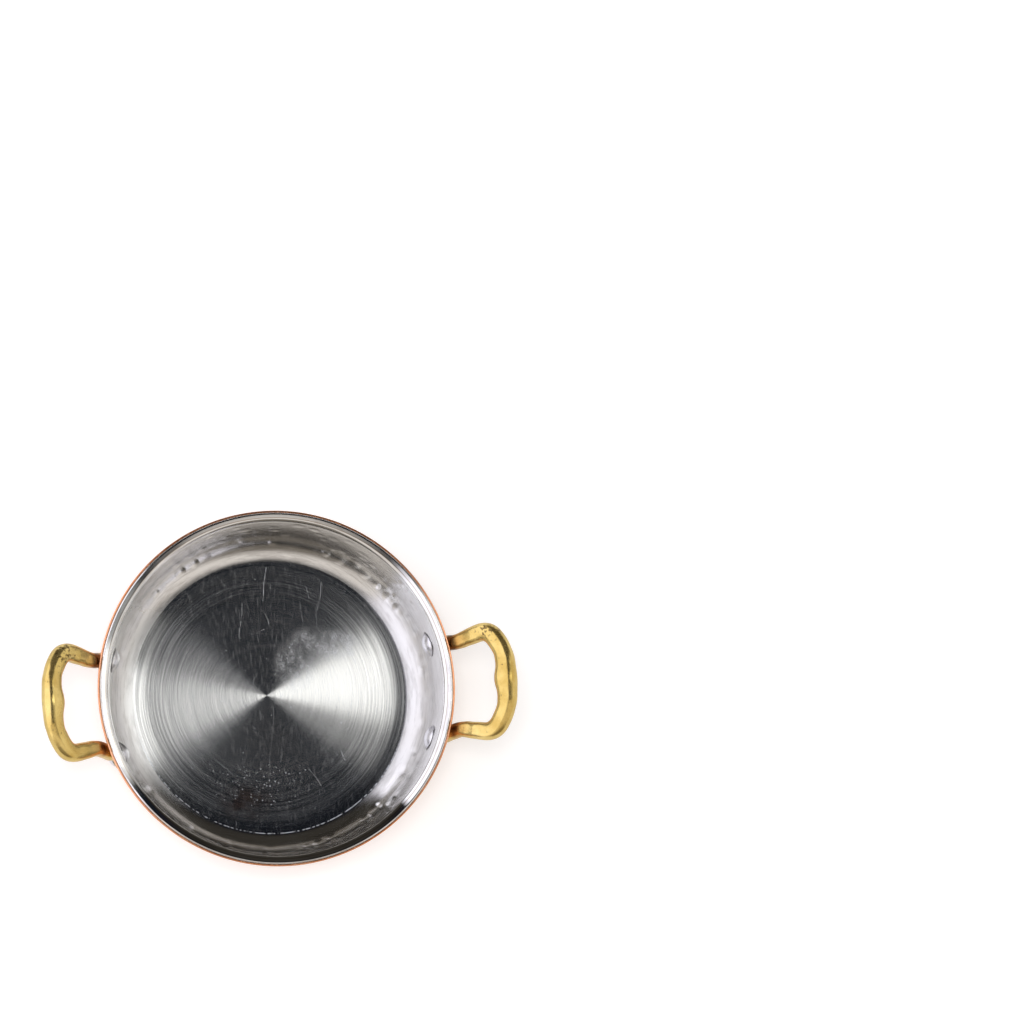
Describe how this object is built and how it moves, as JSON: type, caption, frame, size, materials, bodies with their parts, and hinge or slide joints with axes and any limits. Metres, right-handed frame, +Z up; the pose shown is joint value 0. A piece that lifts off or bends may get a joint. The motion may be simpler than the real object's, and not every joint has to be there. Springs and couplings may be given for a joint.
{
  "type": "kadai",
  "caption": "Small round serving kadai: copper-skinned steel bowl with a flared lip, a flat brushed floor and riveted cast brass loop handles",
  "frame": {"origin": "centre of the flat base, on the surface that the kadai stands on", "axes": "+X from the left handle to the right handle, +Y from front to rear, +Z up"},
  "size_m": [0.1994, 0.15, 0.0548],
  "materials": {
    "copper": "polished copper sheet, smooth",
    "steel": "stainless, lathe-brushed floor, polished hammered wall and lip",
    "cast_brass": "hand-polished sand casting with small pits",
    "rivet_metal": "satin, hand-set domes"
  },
  "bodies": {
    "root": {"copper_shell": "copper", "steel_liner": "steel", "left_handle": "cast_brass", "right_handle": "cast_brass", "left_front_rivet": "rivet_metal", "left_rear_rivet": "rivet_metal", "right_front_rivet": "rivet_metal", "right_rear_rivet": "rivet_metal"}
  },
  "joints": []
}
